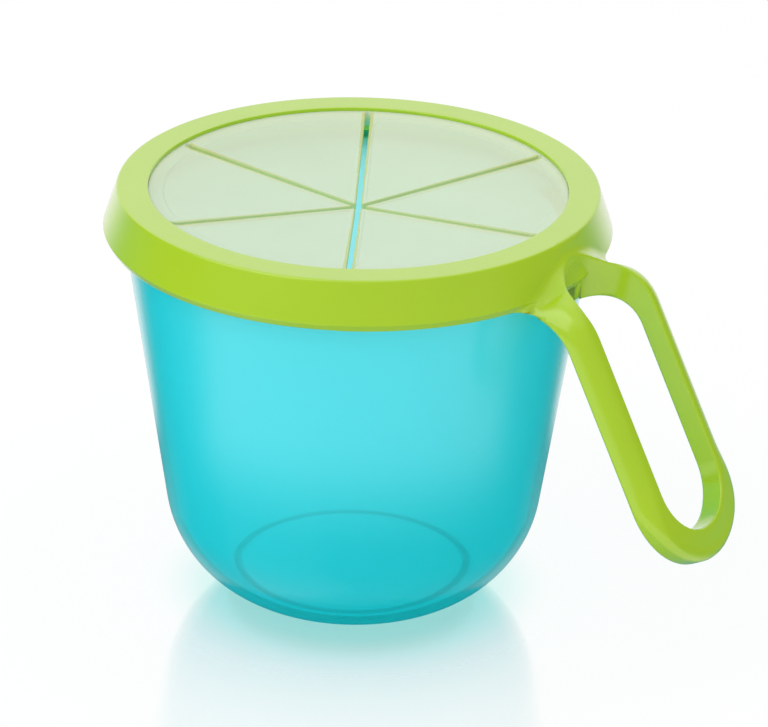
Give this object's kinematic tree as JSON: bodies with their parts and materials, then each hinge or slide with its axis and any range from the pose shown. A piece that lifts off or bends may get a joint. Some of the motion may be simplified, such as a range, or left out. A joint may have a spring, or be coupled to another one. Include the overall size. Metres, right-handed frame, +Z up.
{
  "type": "toddler snack cup",
  "caption": "Tapered snack cup with a push-on ring lid, a long loop handle moulded into the lid's skirt, and a soft slit insert of petals that a small hand pushes through.",
  "frame": {"origin": "centre of the base, on the surface that the cup stands on", "axes": "+Z up, +X from the cup towards the handle"},
  "size_m": [0.1334, 0.1, 0.0863],
  "materials": {
    "cup_plastic": "translucent tinted gloss",
    "lid_plastic": "smooth gloss",
    "soft_insert": "translucent soft satin"
  },
  "bodies": {
    "cup": {"cup": "cup_plastic"},
    "lid": {"lid": "lid_plastic", "petal_rim": "soft_insert"},
    "petal_1": {"petal_1": "soft_insert"},
    "petal_2": {"petal_2": "soft_insert"},
    "petal_3": {"petal_3": "soft_insert"},
    "petal_4": {"petal_4": "soft_insert"},
    "petal_5": {"petal_5": "soft_insert"},
    "petal_6": {"petal_6": "soft_insert"}
  },
  "joints": [
    {"name": "lid_lift", "type": "slide", "parent": "cup", "child": "lid", "axis": [0, 0, 1], "range_m": [0, 0.06]},
    {"name": "petal_1_fold", "type": "hinge", "parent": "lid", "child": "petal_1", "pos_m": [0.02893, 0.0167, 0.0832], "axis": [0.5, -0.866, 0], "range_deg": [-45, 75], "stiffness_Nm_per_rad": 0.01},
    {"name": "petal_2_fold", "type": "hinge", "parent": "lid", "child": "petal_2", "pos_m": [0, 0.0334, 0.0832], "axis": [1, 0, 0], "range_deg": [-45, 75], "stiffness_Nm_per_rad": 0.01},
    {"name": "petal_3_fold", "type": "hinge", "parent": "lid", "child": "petal_3", "pos_m": [-0.02893, 0.0167, 0.0832], "axis": [0.5, 0.866, 0], "range_deg": [-45, 75], "stiffness_Nm_per_rad": 0.01},
    {"name": "petal_4_fold", "type": "hinge", "parent": "lid", "child": "petal_4", "pos_m": [-0.02893, -0.0167, 0.0832], "axis": [-0.5, 0.866, 0], "range_deg": [-45, 75], "stiffness_Nm_per_rad": 0.01},
    {"name": "petal_5_fold", "type": "hinge", "parent": "lid", "child": "petal_5", "pos_m": [0, -0.0334, 0.0832], "axis": [-1, 0, 0], "range_deg": [-45, 75], "stiffness_Nm_per_rad": 0.01},
    {"name": "petal_6_fold", "type": "hinge", "parent": "lid", "child": "petal_6", "pos_m": [0.02893, -0.0167, 0.0832], "axis": [-0.5, -0.866, 0], "range_deg": [-45, 75], "stiffness_Nm_per_rad": 0.01}
  ]
}
